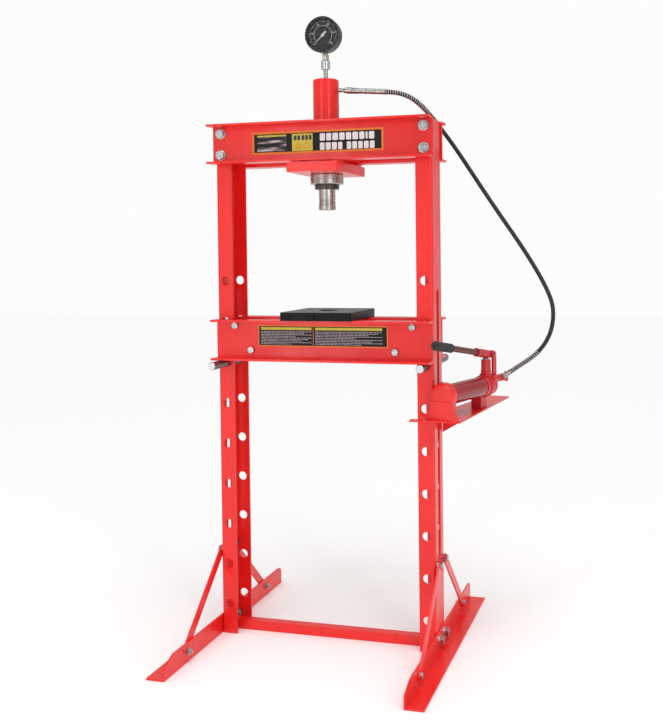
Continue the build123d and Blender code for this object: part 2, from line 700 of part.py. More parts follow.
def main():
    right, left = both_sides(right_post())
    save(drill_bracket_holes(right), "right_post")
    save(left, "left_post")
    rear_head = head_channel()
    save(rear_head, "head_rear_channel")
    save(mirror(rear_head, about=Plane.XZ), "head_front_channel")
    rear_bed = bed_channel()
    save(rear_bed, "bed_rear_channel")
    save(mirror(rear_bed, about=Plane.XZ), "bed_front_channel")

    heads = [(p, d, POST_WALL + CHANNEL_WALL) for p, d in head_bolt_places()]
    feet = [(p, d, POST_WALL + FOOT_WALL) for p, d in foot_bolt_places()]
    big = heads + feet
    save_all([at(p, d) * frame_washer() for p, d, grip in big], "frame_washers")
    save_all([at(step_back((p, d), -3), d) * frame_bolt() for p, d, grip in big], "frame_bolts")
    save_all([at(step_back((p, d), grip), [-c for c in d]) * frame_nut() for p, d, grip in big], "frame_nuts")

    small = []
    for p, d in brace_bolt_places():
        at_post = abs(p[1]) < 100
        small.append((p, d, 2 * FOOT_WALL + (POST_WALL if at_post else 0)))
    for p, d in bracket_bolt_places():
        small.append((p, d, SHELF_WALL + POST_WALL))
    save_all([at(p, d) * brace_bolt() for p, d, grip in small], "brace_bolts")
    save_all([at(step_back((p, d), grip), [-c for c in d]) * brace_nut() for p, d, grip in small], "brace_nuts")

    bolts, nuts, spacers = bed_fasteners()
    save_all(bolts, "bed_bolts")
    save_all(nuts, "bed_nuts")
    save_all(spacers, "bed_spacers")
    save(bed_pin(PIN_HOLE_X, RIGHT_PIN_FRONT), "pin_right")
    save(bed_pin(-PIN_HOLE_X, LEFT_PIN_FRONT), "pin_left")
    right, left = both_sides(right_arbor_plate())
    save(right, "arbor_plate_right")
    save(left, "arbor_plate_left")
    web = -POST_DEPTH / 2 - CHANNEL_WALL
    save(label_plate(-208, 191, web, 1415, 1480), "head_label")
    save(label_plate(-197, 198, web - BED_GAP, 858, 920), "bed_label")

    save(cylinder_plate(), "cylinder_plate")
    save(cylinder_body(), "cylinder_body")
    save(ring_nut(), "ring_nut")
    save(gland_nut(), "gland_nut")
    save(ram_rod(), "ram_rod")
    save(piston_seal(), "piston_seal")
    save(ram_tip(), "ram_tip")
    save(return_spring(), "return_spring")

    save(gauge_adapter(), "gauge_adapter")
    save(gauge_coupling(), "gauge_coupling")
    save(gauge_stem(), "gauge_stem")
    save(gauge_case(), "gauge_case")
    save(gauge_dial(), "gauge_dial")
    save(gauge_lens(), "gauge_lens")
    save(gauge_bezel(), "gauge_bezel")
    save(gauge_needle(), "gauge_needle")

    save(hose_nipple(), "hose_nipple")
    save(hose_coupler(), "hose_coupler")
    save(hose_ferrule(), "hose_ferrule")
    make_hose()
    save(hose_fitting_lower(), "hose_fitting_lower")

    right, left = both_sides(right_foot())
    save(right, "right_foot")
    save(left, "left_foot")
    rear_braces = both_sides(right_rear_brace())
    save_all([*rear_braces, *[mirror(brace, about=Plane.XZ) for brace in rear_braces]], "braces")
    save_all(brace_spacers(), "brace_spacers")
    save(tie_bar(), "tie_bar")

    save(pump_bracket(), "pump_bracket")
    save(placed(pump_front_cap()), "pump_front_cap")
    save(placed(pump_reservoir()), "pump_reservoir")
    rear_head_bore = lower_frame(-8) * cylinder(6.1, 38)
    save(placed(pump_rear_head()) + hose_boss() - rear_head_bore, "pump_rear_head")
    save(placed(pump_barrel()), "pump_barrel")
    save(placed(pump_plunger()), "pump_plunger")
    save(placed(handle_socket()), "handle_socket")
    save(placed(handle_rod()), "handle_rod")
    save(placed(handle_grip()), "handle_grip")
    save(placed(fulcrum_pin()), "fulcrum_pin")
    save(placed(release_valve()), "release_valve")


main()
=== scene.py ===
"""Visual model of the hydraulic shop press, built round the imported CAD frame. Metres."""
import math

import bmesh
import bpy
from mathutils import Matrix, Vector


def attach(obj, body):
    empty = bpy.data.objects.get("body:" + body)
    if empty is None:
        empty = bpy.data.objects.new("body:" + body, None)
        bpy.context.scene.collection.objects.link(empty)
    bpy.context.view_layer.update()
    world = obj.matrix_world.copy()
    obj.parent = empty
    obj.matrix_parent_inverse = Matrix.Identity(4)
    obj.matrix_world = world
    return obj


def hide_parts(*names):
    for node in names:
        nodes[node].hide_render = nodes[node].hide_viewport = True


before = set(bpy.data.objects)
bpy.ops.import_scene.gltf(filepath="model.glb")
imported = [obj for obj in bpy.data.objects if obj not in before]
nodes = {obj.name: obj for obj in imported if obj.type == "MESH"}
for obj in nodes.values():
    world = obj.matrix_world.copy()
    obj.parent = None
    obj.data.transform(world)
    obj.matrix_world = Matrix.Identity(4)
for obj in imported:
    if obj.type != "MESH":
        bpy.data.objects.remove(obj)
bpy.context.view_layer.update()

WEB_FACE = -0.0585
BED_WEB_FACE = -0.0595
LABEL_THICK = 0.0006
INK_THICK = 0.0001
HEAD_LABEL = (-0.208, 0.191, 1.415, 1.480)
BED_LABEL = (-0.197, 0.198, 0.858, 0.920)
BED_BORDER = 0.0034
ROW_SHARES = (1.0, 0.86, 1.0, 0.7, 1.0, 0.94, 0.8, 1.0, 0.6)
GAUGE_Z = 1.758
DIAL_FACE = -0.0208
PIN_LENGTH = 0.310
PLATE_TOP = 0.9606
HOSE_RADIUS = 0.00625
COIL_RADIUS = 0.00735
COIL_WIRE = 0.00105
COIL_PITCH = 0.0066
GUARD_GAP = 0.001
GUARD_UPPER_END = 0.158
GUARD_LOWER_START = 0.108
LINE_STEP = 0.004
HOSE_ROUTE = (
    (0.1810, 0.0000, 1.5880),
    (0.2050, 0.0000, 1.5860),
    (0.2285, 0.0055, 1.5805),
    (0.2525, 0.0185, 1.5700),
    (0.2765, 0.0465, 1.5500),
    (0.2960, 0.1100, 1.5190),
    (0.3200, 0.1400, 1.4810),
    (0.3460, 0.1530, 1.4430),
    (0.3920, 0.1600, 1.3720),
    (0.4390, 0.1660, 1.2980),
    (0.4850, 0.1720, 1.2280),
    (0.5330, 0.1770, 1.1570),
    (0.5670, 0.1820, 1.1030),
    (0.6020, 0.1870, 1.0420),
    (0.6270, 0.1910, 0.9870),
    (0.6340, 0.1940, 0.9450),
    (0.6280, 0.1960, 0.8970),
    (0.6110, 0.1980, 0.8580),
    (0.5870, 0.2000, 0.8280),
    (0.5600, 0.2020, 0.8055),
    (0.5283, 0.2033, 0.78487),
    (0.5037, 0.2033, 0.7677),
)


# Camera, lights, floor


def make_camera():
    """A camera right of straight on, a little above the bed, with its lens shifted to frame the press."""
    yaw, pitch, roll = math.radians(14.964), math.radians(1.302), math.radians(-0.574)
    reach = math.cos(pitch)
    forward = Vector((-math.sin(yaw) * reach, math.cos(yaw) * reach, -math.sin(pitch)))
    level = Vector((math.cos(yaw), math.sin(yaw), 0))
    upright = level.cross(forward)
    right = math.cos(roll) * level + math.sin(roll) * upright
    up = math.cos(roll) * upright - math.sin(roll) * level
    data = bpy.data.cameras.new("camera")
    data.lens = 968.8 / 720 * 36
    data.sensor_width = 36
    data.shift_x = -0.1113
    data.shift_y = -0.1181
    data.clip_end = 60
    camera = bpy.data.objects.new("camera", data)
    camera.matrix_world = Matrix(
        (
            (right.x, up.x, -forward.x, 0.96742),
            (right.y, up.y, -forward.y, -2.67406),
            (right.z, up.z, -forward.z, 1.12580),
            (0, 0, 0, 1),
        )
    )
    bpy.context.collection.objects.link(camera)
    bpy.context.scene.camera = camera


def area_light(name, place, target, size, power):
    data = bpy.data.lights.new(name, "AREA")
    data.shape = "RECTANGLE"
    data.size = size[0]
    data.size_y = size[1]
    data.energy = power
    light = bpy.data.objects.new(name, data)
    light.location = place
    light.rotation_euler = (Vector(target) - Vector(place)).to_track_quat("-Z", "Y").to_euler()
    bpy.context.collection.objects.link(light)


def make_world():
    """A white backdrop for the camera and a softer grey sky for the light on the object."""
    world = bpy.data.worlds.new("studio")
    world.use_nodes = True
    tree = world.node_tree
    background = tree.nodes["Background"]
    background.inputs["Color"].default_value = (1, 1, 1, 1)
    path = tree.nodes.new("ShaderNodeLightPath")
    strength = tree.nodes.new("ShaderNodeMapRange")
    strength.inputs["To Min"].default_value = 0.58
    strength.inputs["To Max"].default_value = 0.98
    tree.links.new(path.outputs["Is Camera Ray"], strength.inputs["Value"])
    tree.links.new(strength.outputs["Result"], background.inputs["Strength"])
    bpy.context.scene.world = world


def make_studio():
    make_world()
    bpy.context.scene.view_settings.view_transform = "Standard"
    sky = bpy.data.lights.new("overhead", "SUN")
    sky.energy = 1.3
    sky.angle = math.radians(50)
    overhead = bpy.data.objects.new("overhead", sky)
    overhead.rotation_euler = Vector((-0.14, 0.30, -0.94)).to_track_quat("-Z", "Y").to_euler()
    bpy.context.collection.objects.link(overhead)
    area_light("left_strip", (-1.3, -3.4, 1.5), (0, 0, 1.0), (0.5, 3.0), 16)
    area_light("right_strip", (2.5, -2.6, 1.5), (0.1, 0, 1.0), (0.5, 3.0), 20)


def make_floor():
    """A paper floor that glows faintly, so that it is as white as the backdrop."""
    mesh = bpy.data.meshes.new("studio_floor")
    build = bmesh.new()
    bmesh.ops.create_grid(build, x_segments=2, y_segments=2, size=14)
    build.to_mesh(mesh)
    build.free()
    floor = bpy.data.objects.new("studio_floor", mesh)
    floor.location = (0, 0, -0.0006)
    bpy.context.collection.objects.link(floor)
    paint = Surface("floor_paper", (0.97, 0.97, 0.97), 0.75)
    paint.shader.inputs["Emission Color"].default_value = (1, 1, 1, 1)
    paint.shader.inputs["Emission Strength"].default_value = 0.04
    grain = paint.noise(60, 4)
    paint.bump(grain, 0.03, 0.001)
    mesh.materials.append(paint.material)


# Materials


class Surface:
    """A Principled material with object coordinates and a few helpers for its nodes."""

    def __init__(self, name, colour, roughness, metallic=0.0):
        self.material = bpy.data.materials.new(name)
        self.material.use_nodes = True
        self.material.diffuse_color = (*colour, 1)
        self.tree = self.material.node_tree
        self.shader = self.tree.nodes["Principled BSDF"]
        self.shader.inputs["Base Color"].default_value = (*colour, 1)
        self.shader.inputs["Roughness"].default_value = roughness
        self.shader.inputs["Metallic"].default_value = metallic
        self.place = self.node("ShaderNodeTexCoord").outputs["Object"]

    def node(self, kind, **settings):
        made = self.tree.nodes.new(kind)
        for key, value in settings.items():
            setattr(made, key, value)
        return made

    def link(self, output, target):
        self.tree.links.new(output, target)

    def stretched(self, scale):
        mapping = self.node("ShaderNodeMapping")
        mapping.inputs["Scale"].default_value = scale
        self.link(self.place, mapping.inputs["Vector"])
        return mapping.outputs["Vector"]

    def noise(self, scale, detail=3, stretch=None):
        made = self.node("ShaderNodeTexNoise")
        made.inputs["Scale"].default_value = scale
        made.inputs["Detail"].default_value = detail
        self.link(self.stretched(stretch) if stretch else self.place, made.inputs["Vector"])
        return made.outputs["Fac"]

    def wave(self, scale, direction, distortion=0.0):
        made = self.node("ShaderNodeTexWave", bands_direction=direction)
        made.inputs["Scale"].default_value = scale
        made.inputs["Distortion"].default_value = distortion
        self.link(self.place, made.inputs["Vector"])
        return made.outputs["Fac"]

    def ramp(self, value, *stops):
        made = self.node("ShaderNodeValToRGB")
        elements = made.color_ramp.elements
        while len(elements) < len(stops):
            elements.new(0.5)
        for element, (position, colour) in zip(elements, stops):
            element.position = position
            element.color = (*colour, 1)
        self.link(value, made.inputs["Fac"])
        return made.outputs["Color"]

    def spread(self, value, low, high):
        """Maps a noise's middle range onto low to high."""
        made = self.node("ShaderNodeMapRange")
        made.inputs["From Min"].default_value = 0.3
        made.inputs["From Max"].default_value = 0.7
        made.inputs["To Min"].default_value = low
        made.inputs["To Max"].default_value = high
        self.link(value, made.inputs["Value"])
        return made.outputs["Result"]

    def mix(self, factor, first, second):
        made = self.node("ShaderNodeMix", data_type="RGBA")
        self.link(factor, made.inputs["Factor"])
        for socket, value in ((made.inputs[6], first), (made.inputs[7], second)):
            if isinstance(value, tuple):
                socket.default_value = (*value, 1)
            else:
                self.link(value, socket)
        return made.outputs[2]

    def along(self, axis, low, high):
        """Goes from 0 to 1 between two places on an axis."""
        split = self.node("ShaderNodeSeparateXYZ")
        self.link(self.place, split.inputs["Vector"])
        made = self.node("ShaderNodeMapRange")
        made.inputs["From Min"].default_value = low
        made.inputs["From Max"].default_value = high
        self.link(split.outputs[axis], made.inputs["Value"])
        return made.outputs["Result"]

    def bump(self, height, strength, distance, edge=0.0):
        made = self.node("ShaderNodeBump")
        made.inputs["Strength"].default_value = strength
        made.inputs["Distance"].default_value = distance
        self.link(height, made.inputs["Height"])
        if edge:
            bevel = self.node("ShaderNodeBevel", samples=4)
            bevel.inputs["Radius"].default_value = edge
            self.link(bevel.outputs["Normal"], made.inputs["Normal"])
        self.link(made.outputs["Normal"], self.shader.inputs["Normal"])

    def colour(self, value):
        self.link(value, self.shader.inputs["Base Color"])

    def roughness(self, value):
        self.link(value, self.shader.inputs["Roughness"])

    def coat(self, weight, roughness):
        self.shader.inputs["Coat Weight"].default_value = weight
        self.shader.inputs["Coat Roughness"].default_value = roughness


def enamel(name, light, dark, roughness):
    """Brushed-on gloss enamel: a slight tone drift, orange peel and soft edges."""
    paint = Surface(name, light, roughness)
    paint.shader.inputs["Specular IOR Level"].default_value = 0.4
    drift = paint.noise(5, 3)
    paint.colour(paint.ramp(drift, (0.3, dark), (0.62, light)))
    paint.roughness(paint.spread(paint.noise(22, 4), roughness - 0.05, roughness + 0.08))
    paint.coat(0.15, 0.12)
    paint.bump(paint.noise(330, 2), 0.10, 0.0004, edge=0.0012)
    return paint.material


def cast_enamel(name, light, dark):
    """Enamel over a sand casting: a coarser skin than on sheet."""
    paint = Surface(name, light, 0.36)
    paint.colour(paint.ramp(paint.noise(14, 4), (0.3, dark), (0.65, light)))
    paint.roughness(paint.spread(paint.noise(45, 4), 0.3, 0.46))
    paint.coat(0.12, 0.18)
    paint.bump(paint.noise(210, 4), 0.28, 0.0008, edge=0.0012)
    return paint.material


def zinc(name, dark, light):
    """Zinc plate with a cloudy, faintly yellow passivation."""
    metal = Surface(name, light, 0.3, 1.0)
    cloud = metal.noise(95, 4)
    metal.colour(metal.ramp(cloud, (0.3, dark), (0.55, light), (0.8, (0.48, 0.46, 0.38))))
    metal.roughness(metal.spread(metal.noise(160, 3), 0.2, 0.42))
    metal.bump(metal.noise(700, 2), 0.12, 0.0002, edge=0.0006)
    return metal.material


def fitting_steel():
    metal = Surface("zinc_fitting", (0.62, 0.62, 0.61), 0.33, 1.0)
    metal.colour(metal.ramp(metal.noise(110, 4), (0.3, (0.26, 0.26, 0.25)), (0.7, (0.58, 0.58, 0.56))))
    metal.roughness(metal.spread(metal.noise(240, 3), 0.22, 0.45))
    metal.bump(metal.wave(260, "X", 0.5), 0.12, 0.0003, edge=0.0005)
    return metal.material


def turned_steel():
    """Steel off a lathe: fine rings round the ram's axis, oily and a little stained."""
    metal = Surface("bright_steel", (0.62, 0.60, 0.57), 0.26, 1.0)
    stain = metal.noise(30, 5)
    metal.colour(metal.ramp(stain, (0.3, (0.30, 0.275, 0.25)), (0.6, (0.56, 0.54, 0.51))))
    metal.roughness(metal.spread(metal.noise(90, 3, (0.2, 0.2, 6)), 0.18, 0.36))
    metal.bump(metal.wave(420, "Z", 0.3), 0.16, 0.0002, edge=0.0006)
    return metal.material


def pin_steel(name, front):
    """Dark scale on a pin's side, and both ends with their chamfers painted bright as a painted highlight.
    The pin runs back from its front, a place in y.
    """
    metal = Surface(name, (0.2, 0.18, 0.17), 0.42, 1.0)
    streaks = metal.noise(55, 5, (1, 0.3, 1))
    scale = metal.ramp(streaks, (0.3, (0.10, 0.085, 0.08)), (0.7, (0.30, 0.27, 0.25)))
    # Painted highlight: each end face and the millimetre of side next to it are painted bright steel.
    ends = metal.node("ShaderNodeMath", operation="MAXIMUM")
    metal.link(metal.along("Y", front + 0.0010, front + 0.0004), ends.inputs[0])
    back = front + PIN_LENGTH
    metal.link(metal.along("Y", back - 0.0010, back - 0.0004), ends.inputs[1])
    metal.colour(metal.mix(ends.outputs[0], scale, (0.66, 0.68, 0.70)))
    metal.roughness(metal.spread(metal.noise(120, 4), 0.32, 0.55))
    metal.bump(metal.noise(350, 4), 0.2, 0.0003, edge=0.0006)
    return metal.material


def black_oxide():
    metal = Surface("gland_black", (0.06, 0.055, 0.05), 0.35, 0.9)
    metal.colour(metal.ramp(metal.noise(80, 4), (0.3, (0.03, 0.028, 0.027)), (0.7, (0.13, 0.12, 0.11))))
    metal.roughness(metal.spread(metal.noise(150, 3), 0.28, 0.48))
    metal.bump(metal.wave(380, "Z", 0.4), 0.15, 0.0003, edge=0.0006)
    return metal.material


def plate_black():
    """Painted cast plates, their tops painted a lighter, streaky grey than their sides: a painted highlight
    of the light from above.
    """
    paint = Surface("black_plate", (0.03, 0.03, 0.034), 0.4)
    paint.shader.inputs["Specular IOR Level"].default_value = 0.14
    body = paint.ramp(paint.noise(26, 5), (0.3, (0.003, 0.003, 0.005)), (0.7, (0.009, 0.009, 0.013)))
    # Painted highlight: the top face gets a lighter, streaky grey than the near-black sides, standing for
    # the light that falls on it from above.
    top_highlight_streaks = paint.noise(60, 5, (0.4, 3, 1))
    painted_top_highlight = paint.ramp(top_highlight_streaks, (0.35, (0.05, 0.05, 0.053)), (0.75, (0.19, 0.19, 0.19)))
    top = paint.along("Z", PLATE_TOP - 0.0006, PLATE_TOP - 0.0002)
    paint.colour(paint.mix(top, body, painted_top_highlight))
    paint.roughness(paint.spread(paint.noise(85, 4), 0.28, 0.5))
    paint.bump(paint.noise(260, 4), 0.25, 0.0005, edge=0.001)
    return paint.material


def spring_wire():
    metal = Surface("spring_steel", (0.3, 0.3, 0.32), 0.35, 1.0)
    metal.colour(metal.ramp(metal.noise(90, 3), (0.3, (0.2, 0.2, 0.21)), (0.7, (0.42, 0.42, 0.44))))
    metal.bump(metal.noise(500, 2), 0.1, 0.0002)
    return metal.material


def rubber(name, light, dark, roughness, grain):
    skin = Surface(name, light, roughness)
    skin.shader.inputs["Specular IOR Level"].default_value = 0.3
    skin.colour(skin.ramp(skin.noise(40, 4), (0.3, dark), (0.7, light)))
    skin.roughness(skin.spread(skin.noise(130, 4), roughness - 0.08, roughness + 0.1))
    skin.bump(skin.noise(grain, 3), 0.22, 0.0003)
    return skin.material


def chrome():
    metal = Surface("chrome_coupling", (0.66, 0.67, 0.69), 0.1, 1.0)
    metal.roughness(metal.spread(metal.noise(90, 3), 0.06, 0.18))
    metal.bump(metal.noise(300, 2), 0.04, 0.0002, edge=0.0006)
    return metal.material


def stem_brass():
    metal = Surface("gauge_brass", (0.50, 0.44, 0.36), 0.35, 1.0)
    metal.colour(metal.ramp(metal.noise(120, 4), (0.3, (0.34, 0.29, 0.24)), (0.7, (0.60, 0.54, 0.45))))
    metal.bump(metal.noise(380, 3), 0.12, 0.0002, edge=0.0006)
    return metal.material


def gauge_enamel():
    paint = Surface("gauge_black", (0.008, 0.008, 0.010), 0.25)
    paint.shader.inputs["Specular IOR Level"].default_value = 0.35
    paint.colour(paint.ramp(paint.noise(60, 3), (0.3, (0.005, 0.005, 0.006)), (0.7, (0.012, 0.012, 0.014))))
    paint.bump(paint.noise(420, 3), 0.16, 0.0003, edge=0.0008)
    return paint.material


def dial_black():
    paint = Surface("dial_black", (0.006, 0.006, 0.008), 0.55)
    paint.shader.inputs["Specular IOR Level"].default_value = 0.2
    paint.colour(paint.ramp(paint.noise(90, 3), (0.3, (0.004, 0.004, 0.005)), (0.7, (0.010, 0.010, 0.012))))
    paint.bump(paint.noise(800, 2), 0.06, 0.0001)
    return paint.material


def lens_glass():
    glass = Surface("dial_glass", (0.10, 0.10, 0.11), 0.05)
    glass.shader.inputs["Alpha"].default_value = 0.08
    glass.roughness(glass.spread(glass.noise(35, 3), 0.03, 0.09))
    return glass.material


def print_ink(name, light, dark, roughness=0.42):
    ink = Surface(name, light, roughness)
    ink.shader.inputs["Specular IOR Level"].default_value = 0.2
    ink.colour(ink.ramp(ink.noise(55, 3), (0.3, dark), (0.65, light)))
    ink.roughness(ink.spread(ink.noise(120, 3), roughness - 0.06, roughness + 0.08))
    return ink.material


def picture_ink():
    """A printed grey picture with no subject: soft level streaks."""
    ink = Surface("label_picture", (0.2, 0.2, 0.2), 0.42)
    ink.shader.inputs["Specular IOR Level"].default_value = 0.2
    streaks = ink.noise(26, 2, (0.5, 1, 4.5))
    tones = (0.40, (0.01, 0.01, 0.01)), (0.52, (0.06, 0.06, 0.06)), (0.64, (0.55, 0.53, 0.54))
    ink.colour(ink.ramp(streaks, *tones))
    return ink.material


def dress(name, material):
    """Gives a CAD node its material."""
    mesh = nodes[name].data
    mesh.materials.clear()
    mesh.materials.append(material)


def dress_nodes():
    red = enamel("red_paint", (0.86, 0.018, 0.015), (0.76, 0.012, 0.011), 0.3)
    cap_red = cast_enamel("cast_red_paint", (0.86, 0.020, 0.016), (0.72, 0.012, 0.011))
    head_red = cast_enamel("pump_red_paint", (0.62, 0.014, 0.026), (0.40, 0.008, 0.016))
    looks = {
        red: (
            "left_post", "right_post", "head_front_channel", "head_rear_channel", "bed_front_channel",
            "bed_rear_channel", "cylinder_plate", "cylinder_body", "left_foot", "right_foot", "braces",
            "tie_bar", "pump_bracket",
        ),
        cap_red: ("pump_front_cap",),
        head_red: ("pump_rear_head", "pump_barrel", "handle_socket", "release_valve"),
        enamel("maroon_paint", (0.34, 0.010, 0.018), (0.24, 0.006, 0.012), 0.2): ("pump_reservoir",),
        enamel("rod_paint", (0.15, 0.010, 0.013), (0.07, 0.006, 0.008), 0.26): ("handle_rod",),
        zinc("zinc_bolt", (0.26, 0.27, 0.30), (0.50, 0.51, 0.53)): (
            "frame_bolts", "frame_nuts", "brace_bolts", "brace_nuts", "brace_spacers", "bed_bolts",
            "bed_nuts", "bed_spacers",
        ),
        zinc("zinc_washer", (0.50, 0.51, 0.54), (0.78, 0.79, 0.81)): ("frame_washers",),
        turned_steel(): ("ring_nut", "ram_rod", "ram_tip", "fulcrum_pin", "pump_plunger"),
        pin_steel("pin_steel_left", -0.150): ("pin_left",),
        pin_steel("pin_steel_right", -0.112): ("pin_right",),
        black_oxide(): ("gland_nut",),
        plate_black(): ("arbor_plate_left", "arbor_plate_right"),
        spring_wire(): ("return_spring",),
        rubber("seal_rubber", (0.03, 0.03, 0.032), (0.02, 0.02, 0.02), 0.6, 500): ("piston_seal",),
        fitting_steel(): (
            "gauge_adapter", "hose_nipple", "hose_coupler", "hose_ferrule", "hose_fitting_lower",
        ),
        chrome(): ("gauge_coupling",),
        stem_brass(): ("gauge_stem",),
        gauge_enamel(): ("gauge_case", "gauge_bezel"),
        dial_black(): ("gauge_dial",),
        lens_glass(): ("gauge_lens",),
        print_ink("needle_white", (0.9, 0.9, 0.9), (0.8, 0.8, 0.8)): ("gauge_needle",),
        rubber("grip_rubber", (0.045, 0.045, 0.047), (0.025, 0.025, 0.027), 0.6, 420): ("handle_grip",),
        print_ink("label_black", (0.014, 0.012, 0.014), (0.008, 0.008, 0.009)): ("head_label", "bed_label"),
    }
    for material, names in looks.items():
        for name in names:
            dress(name, material)


# Pieces


def mesh_object(name, build, material, body):
    """Links a finished bmesh as a piece on a body."""
    mesh = bpy.data.meshes.new(name)
    build.to_mesh(mesh)
    build.free()
    mesh.materials.append(material)
    piece = bpy.data.objects.new(name, mesh)
    bpy.context.collection.objects.link(piece)
    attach(piece, body)
    return piece


def add_prism(build, outline, back, front):
    """Adds a flat shape in x and z, from y = back to y = front."""
    rear = [build.verts.new((x, back, z)) for x, z in outline]
    face = [build.verts.new((x, front, z)) for x, z in outline]
    build.faces.new(face)
    build.faces.new(rear[::-1])
    for i in range(len(outline)):
        j = (i + 1) % len(outline)
        build.faces.new((face[j], face[i], rear[i], rear[j]))


def rectangle(x_low, x_high, z_low, z_high, corner=0.0):
    if not corner:
        return [(x_low, z_low), (x_high, z_low), (x_high, z_high), (x_low, z_high)]
    points = []
    centres = ((x_high, z_low, -90), (x_high, z_high, 0), (x_low, z_high, 90), (x_low, z_low, 180))
    for x, z, start in centres:
        x += -corner if x == x_high else corner
        z += -corner if z == z_high else corner
        for step in range(5):
            angle = math.radians(start + 22.5 * step)
            points.append((x + corner * math.cos(angle), z + corner * math.sin(angle)))
    return points


def add_frame(build, x_low, x_high, z_low, z_high, width, back, front):
    """Adds a rectangular border as four mitred strips."""
    outer = rectangle(x_low, x_high, z_low, z_high)
    inner = rectangle(x_low + width, x_high - width, z_low + width, z_high - width)
    for i in range(4):
        j = (i + 1) % 4
        add_prism(build, [outer[i], outer[j], inner[j], inner[i]], back, front)


def finish_prisms(build):
    bmesh.ops.recalc_face_normals(build, faces=build.faces)
    return build


def prisms(name, shapes, face, lift, material, body):
    build = bmesh.new()
    for outline in shapes:
        add_prism(build, outline, face, face - lift)
    return mesh_object(name, finish_prisms(build), material, body)


def border(name, box, width, face, material, body):
    build = bmesh.new()
    add_frame(build, *box, width, face, face - 0.00012)
    return mesh_object(name, finish_prisms(build), material, body)


def ring_quads(x, z, inner, outer):
    """A flat ring as a row of four-sided pieces."""
    points = [(math.cos(math.tau * k / 24), math.sin(math.tau * k / 24)) for k in range(25)]
    return [
        [
            (x + inner * a, z + inner * b),
            (x + outer * a, z + outer * b),
            (x + outer * c, z + outer * d),
            (x + inner * c, z + inner * d),
        ]
        for (a, b), (c, d) in zip(points, points[1:])
    ]


def black_print():
    return bpy.data.materials["label_black"]


def head_print(orange, yellow, white, picture):
    """The head's label: a border, a plain picture, a yellow panel with two rings, and white bars."""
    face = WEB_FACE - LABEL_THICK
    border("head_label_border", HEAD_LABEL, 0.0062, face, orange, "frame")
    patch = [rectangle(-0.192, -0.102, 1.4245, 1.4655)]
    prisms("head_label_picture", patch, face, INK_THICK, picture, "frame")
    strip = [rectangle(-0.192, -0.102, 1.4660, 1.4705)]
    prisms("head_label_strip", strip, face, INK_THICK, yellow, "frame")
    panel = [rectangle(-0.084, -0.021, 1.4225, 1.4715, 0.001)]
    prisms("head_label_panel", panel, face, INK_THICK, yellow, "frame")
    panel_face = face - INK_THICK
    rings = ring_quads(-0.0655, 1.4360, 0.0062, 0.0088) + ring_quads(-0.0395, 1.4360, 0.0062, 0.0088)
    prisms("head_label_rings", rings, panel_face, INK_THICK, orange, "frame")
    starts = (-0.0785, -0.0675, -0.0545, -0.0435, -0.0325)
    bars = [rectangle(x, x + 0.0085, 1.4530, 1.4670, 0.002) for x in starts]
    prisms("head_label_panel_bars", bars, panel_face, INK_THICK, black_print(), "frame")
    prisms("head_label_bars", head_bars(), face, INK_THICK, white, "frame")


def head_bars():
    """Two rows of rounded white bars of mixed widths. A width of 0 is a gap."""
    bars = []
    for low, high, widths in (
        (1.4490, 1.4700, (0.016, 0.015, 0.017, 0.016, 0.016, 0.017, 0.015, 0.006, 0.016)),
        (1.4225, 1.4435, (0.014, 0.015, 0.015, 0.013, 0, 0.013, 0.014, 0.013, 0.014, 0.014)),
    ):
        x = 0.001
        for width in widths:
            if width:
                bars.append(rectangle(x, x + width, low, high, 0.003))
            x += max(width, 0.006) + 0.0036
    return bars


def word_row(x_low, x_high, z, seed):
    """A row of short dashes of mixed lengths, like print too small to read."""
    dashes = []
    x = x_low
    while x < x_high - 0.003:
        seed = (seed * 137 + 71) % 1009
        width = 0.0035 + 0.0085 * seed / 1009
        end = min(x + width, x_high)
        dashes.append(rectangle(x, end, z - 0.0009, z + 0.0009))
        x = end + 0.0017
    return dashes


def bed_print(orange, yellow, grey):
    """The bed's label: two dark panels with a yellow band each and rows of fine dashes."""
    face = BED_WEB_FACE - LABEL_THICK
    x_left, x_right, z_low, z_high = BED_LABEL
    border("bed_label_border", BED_LABEL, BED_BORDER, face, orange, "bed")
    divider = rectangle(-0.0268, -0.0252, z_low + BED_BORDER, z_high - BED_BORDER)
    prisms("bed_label_divider", [divider], face, INK_THICK, orange, "bed")
    bands = []
    dashes = []
    for number, (x_low, x_high) in enumerate(((x_left + 0.009, -0.031), (-0.020, x_right - 0.017))):
        bands.append(rectangle(x_low, x_high, z_high - 0.0135, z_high - 0.0060))
        for row in range(len(ROW_SHARES)):
            share = ROW_SHARES[(row + 4 * number) % len(ROW_SHARES)]
            end = x_low + (x_high - x_low) * share
            dashes += word_row(x_low, end, z_high - 0.0185 - 0.0045 * row, 17 + row + 40 * number)
    prisms("bed_label_bands", bands, face, INK_THICK, yellow, "bed")
    prisms("bed_label_lines", dashes, face, INK_THICK, grey, "bed")


def make_labels():
    orange = print_ink("label_orange", (0.82, 0.25, 0.04), (0.74, 0.20, 0.03))
    yellow = print_ink("label_yellow", (0.62, 0.60, 0.08), (0.54, 0.52, 0.06))
    # The white ink is tinted a little cyan: painted light that cancels the red light the frame bounces onto
    # the label.
    white = print_ink("label_white", (0.84, 0.88, 0.88), (0.76, 0.81, 0.81))
    grey = print_ink("label_grey", (0.50, 0.49, 0.52), (0.34, 0.33, 0.36))
    head_print(orange, yellow, white, picture_ink())
    bed_print(orange, yellow, grey)


def dial_mark(angle, inner, outer, width):
    """A tick's outline on the dial. Angle 0 points down and grows clockwise as the reader sees it."""
    across = (-math.cos(angle), math.sin(angle))
    out = (-math.sin(angle), -math.cos(angle))
    corners = ((inner, -width), (inner, width), (outer, width), (outer, -width))
    return [
        (r * out[0] + w / 2 * across[0], GAUGE_Z + r * out[1] + w / 2 * across[1]) for r, w in corners
    ]


